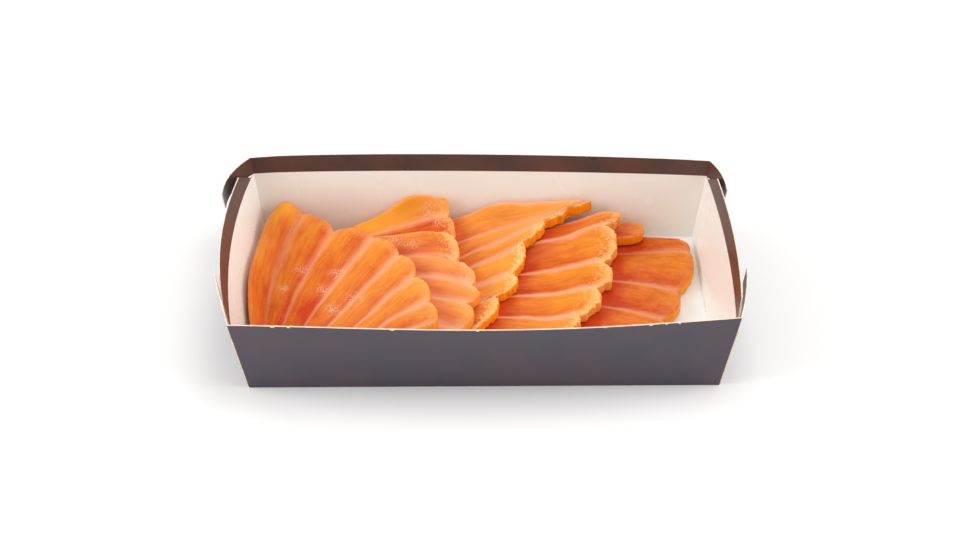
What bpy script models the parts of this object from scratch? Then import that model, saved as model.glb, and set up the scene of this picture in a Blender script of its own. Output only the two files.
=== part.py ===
"""Salmon sashimi laid in overlapping slices in a folded paperboard tray.

Metres, +Z up.  The tray stands on Z = 0 with its long sides along X.  Near means -Y, far +Y.
"""

import math

import bmesh
import bpy
import numpy as np
from mathutils import Vector

PLAN_SHIFT = (0.00195, -0.0005, 0.0)    # puts the middle of the whole object on the Z axis

# --- tray -----------------------------------------------------------------------------------
BASE_LENGTH = 0.1800          # flat bottom, fold to fold
BASE_WIDTH = 0.0888
WALL_HEIGHT = 0.0379
BOARD = 0.0005                # thickness of the paperboard
CREASE = 0.81                 # share of the wall's height where the upper band begins
LEVELS_BELOW_CREASE = 3
BOW_POWER = 1.4               # how the outward bow grows from the bottom fold to the rim

LEFT, RIGHT = -1, 1
NEAR, FAR = -1, 1
END_FLARE = {LEFT: 0.0047, RIGHT: 0.0041}      # outward lean of the corners along X
SIDE_FLARE = {LEFT: 0.0062, RIGHT: 0.0034}     # and along Y

# outward bow of each rim: depth, place of the deepest point from 0 to 1, fullness
SIDE_BOW = {NEAR: (0.0040, 0.56, 1.00), FAR: (0.0046, 0.43, 0.75)}
END_BOW = {LEFT: (0.0075, 0.47, 0.85), RIGHT: (0.0038, 0.51, 0.75)}
SIDE_COLUMNS = 18
END_COLUMNS = 10
BAND_CLIP_LOW = 0.0025        # the end bands stop short of the corners, on a slant
BAND_CLIP_HIGH = 0.0110

# loose band ends round each corner: reach along Y, outward swing half way and at the tip
WINGS = {
    (LEFT, FAR): (0.0240, 0.0098, 0.0094),
    (RIGHT, FAR): (0.0195, 0.0052, 0.0047),
    (LEFT, NEAR): (0.0293, 0.0038, 0.0079),
    (RIGHT, NEAR): (0.0282, 0.0044, 0.0061),
}
WING_COLUMNS = 6
WING_MIDDLE = 0.45            # where along its reach a wing bends most
WING_TIP_SLANT = 0.0012       # the tip's lower corner is cut back

FLAP_COLUMNS = 4              # glued corner flaps on the outside of the end walls
FLAP_SLANT = 0.006
FLAP_LOW, FLAP_HIGH = 0.02, 0.79
FLAP_EDGE = 0.00005           # how far a flap's folded edge stays inside the long wall's face
FLAP_SINK = 0.0003            # how far a flap's back is sunk in the end wall

# --- slices ---------------------------------------------------------------------------------
THICKNESS = 0.0048
FLAKE_CROWN = 0.0004          # each flake is a little thicker in its middle
RIM_INSET = 0.0008            # rounding of the cut edges
GAP = 0.00035                 # air between neighbouring solids
HEEL_SHARE = 0.75             # thickness at the heel, as a share of the thickness at the tips
CORNER_CUT = 0.6              # how far a slice's corners are drawn in
SHARP_EDGE = math.radians(50)
CELLS_PER_FLAKE = 4
CELLS_ALONG = 10
LOBE_FULLNESS = 0.6           # 1 is a round lobe, less is squarer
LOBE_WIDTH = 0.0095           # flakes narrower than this bulge less
DRAPE_SWEEPS = 80
DRAPE_SHARE = 0.4             # of each correction taken in a sweep; the last sweeps take it all
LAST_SWEEPS = 12
RISE_FULLNESS = 0.7
SAG = 0.00022                 # how much a free cell sinks in each sweep
GRID = 0.001                  # spacing of the height map that slices are laid on
MAP_HALF_X, MAP_HALF_Y = 0.104, 0.058
WALL_SAMPLES, LEVEL_SAMPLES = 420, 60     # points of each wall put on the height map
CELL_SAMPLES = 5              # and of each cell of a slice, in both directions

# Each slice is a fan of flakes.  tips are the outer ends of the white lines between its
# flakes, from the far side to the near side; heels are the start, middle and end of the
# opposite edge; bends curve the lines sideways, again at the start, middle and end; rise
# lifts the far edge, which leans on the wall.
SLICES = [
    dict(name="salmon_slice_1",
         tips=[(0.0770, 0.0375), (0.0862, 0.0285), (0.0784, 0.0038), (0.0707, -0.0130),
               (0.0645, -0.0270), (0.0570, -0.0385)],
         heels=[(0.0480, 0.0380), (0.0420, 0.0040), (0.0320, -0.0380)],
         lobes=(0.0042,) * 5, bends=(0.0010, 0.0015, 0.0010), rise=0.0),
    dict(name="salmon_slice_2",
         tips=[(0.0655, 0.0420), (0.0680, 0.0368), (0.0645, 0.0315)],
         heels=[(0.0250, 0.0410), (0.0220, 0.0340), (0.0250, 0.0270)],
         lobes=(0.0014,) * 2, bends=(0.0010, 0.0010, 0.0010), rise=0.0),
    dict(name="salmon_slice_3",
         tips=[(0.0563, 0.0428), (0.0510, 0.0325), (0.0493, 0.0168), (0.0462, 0.0002),
               (0.0376, -0.0153), (0.0282, -0.0240), (0.0200, -0.0365)],
         heels=[(-0.0010, 0.0380), (-0.0040, 0.0000), (0.0000, -0.0290)],
         lobes=(0.0042, 0.0058, 0.0054, 0.0044, 0.0042, 0.0042),
         bends=(-0.0005, 0.0015, 0.0000), rise=0.0),
    dict(name="salmon_slice_4",
         tips=[(0.0474, 0.0453), (0.0358, 0.0405), (0.0258, 0.0350), (0.0172, 0.0245),
               (0.0118, 0.0090), (0.0048, -0.0042), (-0.0040, -0.0220), (-0.0100, -0.0360)],
         heels=[(-0.0270, 0.0420), (-0.0290, -0.0080), (-0.0300, -0.0360)],
         lobes=(0.0070, 0.0050, 0.0050, 0.0030, 0.0064, 0.0050, 0.0046),
         bends=(0.0020, 0.0015, 0.0000), rise=0.0045),
    dict(name="salmon_slice_5",
         tips=[(-0.0155, 0.0468), (-0.0135, 0.0400), (-0.0115, 0.0280), (-0.0160, 0.0120),
               (-0.0220, -0.0060), (-0.0290, -0.0220), (-0.0360, -0.0360)],
         heels=[(-0.0660, 0.0300), (-0.0740, 0.0020), (-0.0700, -0.0340)],
         lobes=(0.0020,) * 6, bends=(0.0057, 0.0020, 0.0000), rise=0.0070),
    dict(name="salmon_slice_6",
         tips=[(-0.0180, 0.0280), (-0.0105, 0.0100), (-0.0045, -0.0035), (-0.0065, -0.0140),
               (-0.0095, -0.0270), (-0.0140, -0.0380)],
         heels=[(-0.0780, 0.0250), (-0.0860, -0.0020), (-0.0820, -0.0330)],
         lobes=(0.0042,) * 5, bends=(0.0020, 0.0030, 0.0020), rise=0.0),
    dict(name="salmon_slice_7",
         tips=[(-0.0868, 0.0429), (-0.0735, 0.0412), (-0.0602, 0.0264), (-0.0437, 0.0214),
               (-0.0335, 0.0090), (-0.0270, -0.0055), (-0.0215, -0.0200), (-0.0205, -0.0330)],
         heels=[(-0.0890, -0.0320), (-0.0700, -0.0385), (-0.0400, -0.0390)],
         lobes=(0.0034,) + (0.0035,) * 6, bends=(0.0045, 0.0020, 0.0010), rise=0.0030),
]


# --- helpers --------------------------------------------------------------------------------
def clear_scene():
    for obj in list(bpy.data.objects):
        bpy.data.objects.remove(obj, do_unlink=True)


def make_material(name, colour, roughness, specular=0.5):
    material = bpy.data.materials.new(name)
    material.use_nodes = True
    shader = material.node_tree.nodes["Principled BSDF"]
    shader.inputs["Base Color"].default_value = (*colour, 1.0)
    shader.inputs["Roughness"].default_value = roughness
    shader.inputs["Metallic"].default_value = 0.0
    shader.inputs["Specular IOR Level"].default_value = specular
    return material


def object_from_bmesh(name, bm, material):
    bmesh.ops.translate(bm, verts=bm.verts, vec=PLAN_SHIFT)
    mesh = bpy.data.meshes.new(name)
    bm.to_mesh(mesh)
    bm.free()
    mesh.materials.append(material)
    obj = bpy.data.objects.new(name, mesh)
    bpy.context.scene.collection.objects.link(obj)
    return obj


def blend(a, b, t):
    return a + (b - a) * t


# --- tray geometry --------------------------------------------------------------------------
def bow_shape(along, peak, fullness):
    """Outward bow along a rim, 0 at both corners and 1 at the peak."""
    power = math.log(0.5) / math.log(peak)
    return max(math.sin(math.pi * along ** power), 0.0) ** fullness


def wall_corner(side_x, side_y, level):
    return Vector((
        side_x * (BASE_LENGTH / 2 + END_FLARE[side_x] * level),
        side_y * (BASE_WIDTH / 2 + SIDE_FLARE[side_x] * level),
        WALL_HEIGHT * level))


def lean_point(start, end, along, level, outward, flare, bow):
    """A point of a wall's outer face; a wall that leans out further also stands lower."""
    depth, peak, fullness = bow
    rim_bow = depth * bow_shape(along, peak, fullness)
    drop = ((flare + rim_bow) ** 2 - flare ** 2) / (2 * WALL_HEIGHT) * level
    return start.lerp(end, along) + outward * (rim_bow * level ** BOW_POWER) - Vector((0, 0, drop))


def side_wall_point(side_y, along, level):
    """Long wall; along runs from the left corner to the right one."""
    flare = blend(SIDE_FLARE[LEFT], SIDE_FLARE[RIGHT], along)
    return lean_point(wall_corner(LEFT, side_y, level), wall_corner(RIGHT, side_y, level),
                      along, level, Vector((0, side_y, 0)), flare, SIDE_BOW[side_y])


def end_wall_point(side_x, along, level):
    """End wall; along runs from the far corner to the near one."""
    return lean_point(wall_corner(side_x, FAR, level), wall_corner(side_x, NEAR, level),
                      along, level, Vector((side_x, 0, 0)), END_FLARE[side_x], END_BOW[side_x])


def add_grid(bm, rows):
    """Quads between rows of points."""
    made = [[bm.verts.new(point) for point in row] for row in rows]
    for low, high in zip(made, made[1:]):
        for k in range(len(low) - 1):
            bm.faces.new((low[k], low[k + 1], high[k + 1], high[k]))
    return made


def end_columns():
    """Columns of an end wall, with one at the foot of each clipped band end."""
    clip = BAND_CLIP_LOW / BASE_WIDTH
    inner = [blend(clip, 1 - clip, k / END_COLUMNS) for k in range(END_COLUMNS + 1)]
    return [0.0] + inner + [1.0]


def wing_rows(side_x, side_y):
    """Lower and upper edge of the loose band end that springs out round a corner."""
    reach, half_swing, tip_swing = WINGS[(side_x, side_y)]
    rows = []
    for level, cut in ((CREASE, WING_TIP_SLANT), (1.0, 0.0)):
        root = wall_corner(side_x, side_y, level)
        middle = root + Vector((side_x * half_swing, -side_y * reach * WING_MIDDLE, 0))
        tip = root + Vector((side_x * tip_swing, -side_y * (reach - cut), 0))
        row = []
        for k in range(WING_COLUMNS + 1):
            t = k / WING_COLUMNS
            row.append(root.lerp(middle, t).lerp(middle.lerp(tip, t), t))
        rows.append(row)
    return rows


def wall_levels():
    """Rows of a wall from the bottom fold up to the crease."""
    return [CREASE * k / LEVELS_BELOW_CREASE for k in range(LEVELS_BELOW_CREASE + 1)]


def build_sheet(bm):
    """The folded board as one open sheet, its outer face."""
    levels = wall_levels()
    side_along = [k / SIDE_COLUMNS for k in range(SIDE_COLUMNS + 1)]
    for side_y in (NEAR, FAR):
        add_grid(bm, [[side_wall_point(side_y, s, level) for s in side_along]
                      for level in levels + [1.0]])
    end_along = end_columns()
    clip_low, clip_high = BAND_CLIP_LOW / BASE_WIDTH, BAND_CLIP_HIGH / BASE_WIDTH
    for side_x in (LEFT, RIGHT):
        add_grid(bm, [[end_wall_point(side_x, s, level) for s in end_along]
                      for level in levels])
        low = [end_wall_point(side_x, s, CREASE) for s in end_along[1:-1]]
        high = [end_wall_point(side_x, blend(clip_high, 1 - clip_high, k / END_COLUMNS), 1.0)
                for k in range(END_COLUMNS + 1)]
        add_grid(bm, [low, high])
        for side_y in (NEAR, FAR):
            add_grid(bm, wing_rows(side_x, side_y))
    bmesh.ops.remove_doubles(bm, verts=bm.verts, dist=1e-5)
    rim = [edge for edge in bm.edges
           if edge.is_boundary and max(v.co.z for v in edge.verts) < 1e-6]
    bmesh.ops.contextual_create(bm, geom=rim)
    bmesh.ops.recalc_face_normals(bm, faces=bm.faces)
    bottom = min(bm.faces, key=lambda face: face.calc_center_median().z)
    if bottom.normal.z > 0:
        bmesh.ops.reverse_faces(bm, faces=bm.faces)


def flap_solid(side_x, side_y, material):
    """Corner flap of a long wall, folded round and glued on the outside of the end wall."""
    outward = Vector((side_x, 0, 0))
    shares = end_columns()[:FLAP_COLUMNS + 1]
    shares[0] = FLAP_EDGE / BASE_WIDTH
    levels = [FLAP_LOW] + wall_levels()[1:-1] + [FLAP_HIGH]
    rows = []
    for level in levels:
        cut = FLAP_SLANT * (level - FLAP_LOW) / (FLAP_HIGH - FLAP_LOW) / BASE_WIDTH
        row = []
        for share in shares[:-1] + [shares[-1] - cut]:
            along = share if side_y == FAR else 1 - share
            row.append(end_wall_point(side_x, along, level) - outward * FLAP_SINK)
        rows.append(row)
    bm = bmesh.new()
    add_grid(bm, rows)
    panel = list(bm.faces)
    grown = bmesh.ops.extrude_face_region(bm, geom=panel)["geom"]
    for vert in (item for item in grown if isinstance(item, bmesh.types.BMVert)):
        vert.co += outward * (FLAP_SINK + BOARD)
    bmesh.ops.recalc_face_normals(bm, faces=bm.faces)
    flap = object_from_bmesh("flap_guide", bm, material)
    flap.hide_render = True
    flap.display_type = "WIRE"
    return flap


def build_tray(material):
    bm = bmesh.new()
    build_sheet(bm)
    tray = object_from_bmesh("tray", bm, material)
    solidify = tray.modifiers.new("board thickness", "SOLIDIFY")
    solidify.thickness = BOARD
    solidify.offset = -1.0
    solidify.use_even_offset = True
    for side_x in (LEFT, RIGHT):
        for side_y in (NEAR, FAR):
            union = tray.modifiers.new("corner flap", "BOOLEAN")
            union.operation = "UNION"
            union.solver = "EXACT"
            union.object = flap_solid(side_x, side_y, material)
    return tray


# --- slices laid on a height map ------------------------------------------------------------
class HeightMap:
    """Height of whatever already lies in the tray, on a plan grid."""

    def __init__(self):
        self.columns = int(round(2 * MAP_HALF_X / GRID)) + 1
        self.rows = int(round(2 * MAP_HALF_Y / GRID)) + 1
        self.height = np.full((self.rows, self.columns), BOARD)

    def cells(self, x, y):
        column = np.clip(np.rint((x + MAP_HALF_X) / GRID).astype(int), 0, self.columns - 1)
        row = np.clip(np.rint((y + MAP_HALF_Y) / GRID).astype(int), 0, self.rows - 1)
        return row, column

    def raise_to(self, x, y, z):
        row, column = self.cells(x.ravel(), y.ravel())
        np.maximum.at(self.height, (row, column), z.ravel())

    def widened(self):
        """Highest value in each cell and its neighbours."""
        wide = self.height.copy()
        for shift_y in (-1, 0, 1):
            for shift_x in (-1, 0, 1):
                wide = np.maximum(wide, np.roll(self.height, (shift_y, shift_x), (0, 1)))
        return wide

    def add_walls(self):
        """Inner faces of the walls, and everything outside them as high as the rim."""
        samples = np.linspace(0.0, 1.0, WALL_SAMPLES)
        for level in np.linspace(0.0, 1.0, LEVEL_SAMPLES):
            ring = [side_wall_point(side, s, level) - Vector((0, side * BOARD, 0))
                    for side in (NEAR, FAR) for s in samples]
            ring += [end_wall_point(side, s, level) - Vector((side * BOARD, 0, 0))
                     for side in (LEFT, RIGHT) for s in samples]
            ring = np.array(ring)
            self.raise_to(ring[:, 0], ring[:, 1], ring[:, 2])
        grid_x, grid_y = np.meshgrid(
            np.linspace(-MAP_HALF_X, MAP_HALF_X, self.columns),
            np.linspace(-MAP_HALF_Y, MAP_HALF_Y, self.rows))
        outside = (np.abs(grid_x) > BASE_LENGTH / 2) | (np.abs(grid_y) > BASE_WIDTH / 2)
        self.height[outside & (self.height <= BOARD)] = WALL_HEIGHT


def through_three(points, t):
    """Quadratic curve through its start, middle and end."""
    start, middle, end = (np.atleast_1d(p).astype(float) for p in points)
    t = np.asarray(t)[..., None]
    control = 2 * middle - (start + end) / 2
    return start * (1 - t) ** 2 + control * 2 * t * (1 - t) + end * t ** 2


def unit(vectors):
    return vectors / np.linalg.norm(vectors, axis=-1, keepdims=True)


def quarter_turn(vectors):
    return np.stack([-vectors[..., 1], vectors[..., 0]], -1)


def slice_plan(spec, across, along):
    """Plan position of a slice's point: across counts flakes from the far side, along runs
    from the heel, 0, to the tips, 1."""
    tips = np.array(spec["tips"])
    flakes = len(tips) - 1
    index = np.minimum(np.floor(across).astype(int), flakes - 1)
    part = across - index
    chord = tips[index + 1] - tips[index]
    heel = through_three(spec["heels"], across / flakes)
    tip = tips[index] + chord * part[..., None]
    line = unit(tip - heel)
    square = unit(quarter_turn(chord))
    square *= np.sign(np.sum(square * line, axis=-1, keepdims=True))
    outward = unit(line + square)         # half way between the line and square to the edge
    width = np.abs(np.sum(quarter_turn(chord) * line, axis=-1))
    bulge = np.array(spec["lobes"])[index] * np.sin(np.pi * np.clip(part, 0, 1)) ** LOBE_FULLNESS
    bulge *= np.minimum(width / LOBE_WIDTH, 1.0)
    tip = tip + outward * bulge[..., None]
    bend = through_three(spec["bends"], across / flakes)[..., 0] * 4 * along * (1 - along)
    return heel + (tip - heel) * along[..., None] + unit(quarter_turn(tip - heel)) * bend[..., None]


def slice_nodes(spec):
    """Grid of flake and line shares and their plan positions, with its corners rounded."""
    flakes = len(spec["tips"]) - 1
    across = np.linspace(0, flakes, flakes * CELLS_PER_FLAKE + 1)
    along = np.linspace(0, 1, CELLS_ALONG + 1)
    grid_across, grid_along = np.meshgrid(across, along, indexing="ij")
    plan = slice_plan(spec, grid_across, grid_along)
    for corner_i, step_i in ((0, 1), (-1, -2)):
        for corner_j, step_j in ((0, 1), (-1, -2)):
            inner = (plan[step_i, corner_j] + plan[corner_i, step_j]) / 2
            plan[corner_i, corner_j] = blend(plan[corner_i, corner_j], inner, CORNER_CUT)
    return grid_across, grid_along, plan


def slice_thickness(grid_across, grid_along):
    crown = FLAKE_CROWN * np.sin(np.pi * (grid_across % 1.0)) ** 2
    return THICKNESS * (HEEL_SHARE + (1 - HEEL_SHARE) * grid_along ** 0.5) + crown


def cell_samples(values):
    """Bilinear samples inside every cell, with the shares they were taken at."""
    a, b = values[:-1, :-1], values[1:, :-1]
    c, d = values[:-1, 1:], values[1:, 1:]
    for s in np.linspace(0, 1, CELL_SAMPLES):
        for t in np.linspace(0, 1, CELL_SAMPLES):
            yield a * (1 - s) * (1 - t) + b * s * (1 - t) + c * (1 - s) * t + d * s * t


def lift_clear(under, needed, share):
    """Raise the corners of every cell that dips into the bed by a share of what is short."""
    first, rest = slice(0, -1), slice(1, None)
    for z, need in zip(cell_samples(under), needed):
        short = np.maximum(need - z, 0.0) * share
        for rows, columns in ((first, first), (rest, first), (first, rest), (rest, rest)):
            under[rows, columns] += short


def drape(plan, lift, height_map):
    """Underside heights of a limp slice: it never sinks into what it lies on, and sags where
    nothing is under it."""
    bed = height_map.widened()
    needed = []
    for x, y in zip(cell_samples(plan[..., 0]), cell_samples(plan[..., 1])):
        needed.append(bed[height_map.cells(x, y)] + GAP)
    lowest = BOARD + GAP + lift
    under = lowest.copy()
    for sweep in range(DRAPE_SWEEPS):
        padded = np.pad(under, 1, mode="edge")
        mean = (padded[:-2, 1:-1] + padded[2:, 1:-1] + padded[1:-1, :-2] + padded[1:-1, 2:]) / 4
        under = np.maximum(lowest, mean - SAG)
        lift_clear(under, needed, DRAPE_SHARE)
    for sweep in range(LAST_SWEEPS):
        lift_clear(under, needed, 1.0)
    return under


def border_loop(shape):
    """Grid indices round the border, in order."""
    last_i, last_j = shape[0] - 1, shape[1] - 1
    loop = [(i, 0) for i in range(last_i)]
    loop += [(last_i, j) for j in range(last_j)]
    loop += [(i, last_j) for i in range(last_i, 0, -1)]
    loop += [(0, j) for j in range(last_j, 0, -1)]
    return loop


def inset_border(plan, loop):
    """The plan grid with its border moved in, which rounds the cut edges."""
    ring = np.array([plan[i, j] for i, j in loop])
    inward = unit(quarter_turn(np.roll(ring, -1, axis=0) - np.roll(ring, 1, axis=0)))
    area = np.sum(np.roll(ring, -1, axis=0) * quarter_turn(ring))
    inward *= np.sign(area)
    inset = plan.copy()
    for (i, j), step in zip(loop, inward):
        inset[i, j] = plan[i, j] + step * RIM_INSET
    return inset


def build_slice(spec, height_map, material):
    grid_across, grid_along, plan = slice_nodes(spec)
    loop = border_loop(plan.shape)
    inset = inset_border(plan, loop)
    far_share = 1 - grid_across / grid_across.max()
    lift = spec["rise"] * far_share ** 2 * np.sin(np.pi * grid_along) ** RISE_FULLNESS
    under = drape(inset, lift, height_map)
    top = under + slice_thickness(grid_across, grid_along)
    for x, y, z in zip(cell_samples(plan[..., 0]), cell_samples(plan[..., 1]),
                       cell_samples(top)):
        height_map.raise_to(x, y, z)

    bm = bmesh.new()
    upper = [[bm.verts.new((*inset[i, j], top[i, j])) for j in range(plan.shape[1])]
             for i in range(plan.shape[0])]
    lower = [[bm.verts.new((*inset[i, j], under[i, j])) for j in range(plan.shape[1])]
             for i in range(plan.shape[0])]
    for i in range(plan.shape[0] - 1):
        for j in range(plan.shape[1] - 1):
            bm.faces.new((upper[i][j], upper[i + 1][j], upper[i + 1][j + 1], upper[i][j + 1]))
            bm.faces.new((lower[i][j], lower[i][j + 1], lower[i + 1][j + 1], lower[i + 1][j]))
    waist = [bm.verts.new((*plan[i, j], blend(under[i, j], top[i, j], 0.5))) for i, j in loop]
    for k, (i, j) in enumerate(loop):
        next_k = (k + 1) % len(loop)
        next_i, next_j = loop[next_k]
        bm.faces.new((upper[i][j], waist[k], waist[next_k], upper[next_i][next_j]))
        bm.faces.new((waist[k], lower[i][j], lower[next_i][next_j], waist[next_k]))
    bmesh.ops.recalc_face_normals(bm, faces=bm.faces)
    if bm.calc_volume(signed=True) < 0:
        bmesh.ops.reverse_faces(bm, faces=bm.faces)
    bmesh.ops.triangulate(bm, faces=bm.faces, quad_method="SHORT_EDGE")
    obj = object_from_bmesh(spec["name"], bm, material)
    obj.data.shade_smooth()
    obj.data.set_sharp_from_angle(angle=SHARP_EDGE)
    return obj


def main():
    clear_scene()
    board = make_material("dark_board", (0.102, 0.084, 0.105), 0.42)
    salmon = make_material("raw_salmon", (0.83, 0.24, 0.06), 0.28)
    build_tray(board)
    height_map = HeightMap()
    height_map.add_walls()
    for spec in SLICES:
        build_slice(spec, height_map, salmon)


main()
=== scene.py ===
import math

import bpy
import numpy as np
from mathutils import Matrix, Vector, noise
from mathutils.bvhtree import BVHTree


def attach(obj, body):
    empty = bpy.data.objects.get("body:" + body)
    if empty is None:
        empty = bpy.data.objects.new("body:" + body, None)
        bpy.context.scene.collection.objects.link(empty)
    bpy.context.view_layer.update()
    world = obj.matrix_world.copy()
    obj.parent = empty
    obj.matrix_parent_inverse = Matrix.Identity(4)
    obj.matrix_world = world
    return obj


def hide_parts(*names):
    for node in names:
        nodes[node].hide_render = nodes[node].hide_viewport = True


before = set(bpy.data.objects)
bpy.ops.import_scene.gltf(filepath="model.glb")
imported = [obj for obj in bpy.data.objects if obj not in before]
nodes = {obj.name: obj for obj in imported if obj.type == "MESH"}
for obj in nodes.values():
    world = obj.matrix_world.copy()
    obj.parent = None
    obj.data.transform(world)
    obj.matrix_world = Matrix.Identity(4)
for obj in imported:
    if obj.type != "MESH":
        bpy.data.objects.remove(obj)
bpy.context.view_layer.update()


# small helpers for modelling

def deselectAll():
    bpy.ops.object.select_all(action="DESELECT")


def makeActive(piece):
    deselectAll()
    piece.select_set(True)
    bpy.context.view_layer.objects.active = piece


def sceneObject(name, mesh):
    piece = bpy.data.objects.new(name, mesh)
    bpy.context.scene.collection.objects.link(piece)
    return piece


def addPointValues(mesh, name, values):
    layer = mesh.attributes.new(name, "FLOAT", "POINT")
    layer.data.foreach_set("value", np.asarray(values, np.float32).ravel())


def pointArray(mesh):
    points = np.empty(len(mesh.vertices) * 3, np.float32)
    mesh.vertices.foreach_get("co", points)
    return points.reshape(-1, 3).astype(float)


# small helpers for materials

def linearColour(red, green, blue):
    # colours are picked as 0 to 255 screen values
    def toLinear(value):
        value /= 255
        return value / 12.92 if value <= 0.04045 else ((value + 0.055) / 1.055) ** 2.4
    return (toLinear(red), toLinear(green), toLinear(blue), 1.0)


def newMaterial(name):
    material = bpy.data.materials.new(name)
    material.use_nodes = True
    return material, material.node_tree, material.node_tree.nodes["Principled BSDF"]


def addNode(tree, kind, x, y, **settings):
    node = tree.nodes.new(kind)
    node.location = (x, y)
    for key, value in settings.items():
        setattr(node, key, value)
    return node


def mathNode(tree, operation, first, second, x, y, third=None):
    node = addNode(tree, "ShaderNodeMath", x, y, operation=operation)
    for socket, value in zip(node.inputs, (first, second, third)):
        if value is None:
            continue
        if isinstance(value, (int, float)):
            socket.default_value = value
        else:
            tree.links.new(value, socket)
    return node.outputs[0]


def rangeNode(tree, value, fromLow, fromHigh, toLow, toHigh, x, y):
    node = addNode(tree, "ShaderNodeMapRange", x, y, interpolation_type="SMOOTHSTEP")
    tree.links.new(value, node.inputs["Value"])
    for key, number in (("From Min", fromLow), ("From Max", fromHigh),
                        ("To Min", toLow), ("To Max", toHigh)):
        node.inputs[key].default_value = number
    return node.outputs[0]


def mixColour(tree, share, first, second, x, y):
    node = addNode(tree, "ShaderNodeMix", x, y, data_type="RGBA")
    for socket, value in ((node.inputs[0], share), (node.inputs[6], first), (node.inputs[7], second)):
        if isinstance(value, tuple):
            socket.default_value = value
        else:
            tree.links.new(value, socket)
    return node.outputs[2]


def noiseNode(tree, vector, scale, detail, roughness, x, y):
    node = addNode(tree, "ShaderNodeTexNoise", x, y)
    tree.links.new(vector, node.inputs["Vector"])
    node.inputs["Scale"].default_value = scale
    node.inputs["Detail"].default_value = detail
    node.inputs["Roughness"].default_value = roughness
    return node.outputs["Fac"]


def stretched(tree, vector, scale, x, y):
    node = addNode(tree, "ShaderNodeMapping", x, y)
    tree.links.new(vector, node.inputs["Vector"])
    node.inputs["Scale"].default_value = scale
    return node.outputs["Vector"]


def splitPlace(tree, vector, x, y):
    node = addNode(tree, "ShaderNodeSeparateXYZ", x, y)
    tree.links.new(vector, node.inputs[0])
    return node.outputs


def attributeValue(tree, name, x, y):
    return addNode(tree, "ShaderNodeAttribute", x, y, attribute_name=name).outputs["Fac"]


def bumpNode(tree, height, distance, strength, x, y, normal=None):
    node = addNode(tree, "ShaderNodeBump", x, y)
    tree.links.new(height, node.inputs["Height"])
    node.inputs["Distance"].default_value = distance
    node.inputs["Strength"].default_value = strength
    if normal is not None:
        tree.links.new(normal, node.inputs["Normal"])
    return node.outputs["Normal"]


print("scene: frame loaded,", len(nodes), "nodes")


# paperboard: pulp mottling and fibres, shared by the three board finishes

boardSettings = {
    "pulpScale": 55.0,
    "fibreScale": 900.0,
    "fibreDepth": 0.00002,
    "printColour": linearColour(65, 57, 72),
    "printWarm": linearColour(78, 63, 76),
    "printRoughness": 0.36,
    "printSpecular": 0.5,
    # inside band: dark print with a painted warm reflection of the salmon in its colour
    "bandPrintAndReflection": linearColour(72, 55, 52),
    "bandWarmReflection": linearColour(97, 63, 55),
    "printBump": 0.35,
    "chipColour": linearColour(236, 228, 222),
    "chipDepth": (0.0008, 0.0013),     # chips end between these depths under the rim
    "chipRagged": 0.0008,
    "frontSide": (-0.045, -0.044),     # the front wall lies before these
    "frontChips": [(-0.0763, 0.0007), (-0.0705, 0.0006), (-0.0014, 0.0005),   # place and half width
                   (0.0623, 0.0007), (0.0680, 0.0004), (0.0729, 0.0004)],
    "wornScale": 160.0,                # wear that is scattered along all the rims
    "wornLevel": (0.71, 0.74),
    "insideColour": linearColour(249, 250, 246),
    "insideShade": linearColour(245, 246, 241),
    "insidePulp": 33.0,
    "insideRoughness": 0.24,
    "insideSpecular": 0.4,
    "insideBump": 0.25,
    "coating": (0.18, 0.2),            # weight and roughness
    "bounceLightColour": linearColour(236, 194, 166),     # painted orange light bounced from the slices onto the walls
    "bounceLightHeight": (0.010, 0.034),
    "bounceLightFoot": (0.0006, 0.0030),     # the floor itself gets none
    "bounceLightEnd": (0.045, 0.085),        # it fades out towards the bare right end
    "bounceLightStrength": 0.55,
    "bounceLightUneven": 0.012,
    "rawColour": linearColour(250, 232, 212),
    "rawShade": linearColour(226, 200, 176),
    "rawPulp": 400.0,
    "rawFibre": 1800.0,
    "rawDepth": 0.00006,
    "rawBump": 0.6,
    "rawRoughness": 0.85,
}


def buildPulpGroup():
    group = bpy.data.node_groups.new("boardPulp", "ShaderNodeTree")
    face = group.interface
    face.new_socket(name="Pulp Scale", in_out="INPUT", socket_type="NodeSocketFloat")
    face.new_socket(name="Fibre Scale", in_out="INPUT", socket_type="NodeSocketFloat")
    face.new_socket(name="Cloud", in_out="OUTPUT", socket_type="NodeSocketFloat")
    face.new_socket(name="Fibre", in_out="OUTPUT", socket_type="NodeSocketFloat")
    entry = addNode(group, "NodeGroupInput", -800, 0)
    leave = addNode(group, "NodeGroupOutput", 400, 0)
    place = addNode(group, "ShaderNodeTexCoord", -800, 300).outputs["Object"]
    cloud = addNode(group, "ShaderNodeTexNoise", -400, 200)
    group.links.new(place, cloud.inputs["Vector"])
    group.links.new(entry.outputs["Pulp Scale"], cloud.inputs["Scale"])
    cloud.inputs["Detail"].default_value = 6.0
    fibre = addNode(group, "ShaderNodeTexNoise", -400, -200)
    along = stretched(group, place, (0.25, 1.0, 1.0), -600, -200)
    group.links.new(along, fibre.inputs["Vector"])
    group.links.new(entry.outputs["Fibre Scale"], fibre.inputs["Scale"])
    fibre.inputs["Detail"].default_value = 3.0
    fibre.inputs["Distortion"].default_value = 0.6
    group.links.new(cloud.outputs["Fac"], leave.inputs["Cloud"])
    group.links.new(fibre.outputs["Fac"], leave.inputs["Fibre"])
    return group


def placePulp(tree, group, pulpScale, fibreScale):
    node = addNode(tree, "ShaderNodeGroup", -900, 0, node_tree=group)
    node.inputs["Pulp Scale"].default_value = pulpScale
    node.inputs["Fibre Scale"].default_value = fibreScale
    return node.outputs["Cloud"], node.outputs["Fibre"]


def cloudyColour(tree, pattern, low, high, first, second):
    share = rangeNode(tree, pattern, low, high, 0.0, 1.0, -650, 200)
    return mixColour(tree, share, first, second, -400, 250)


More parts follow.
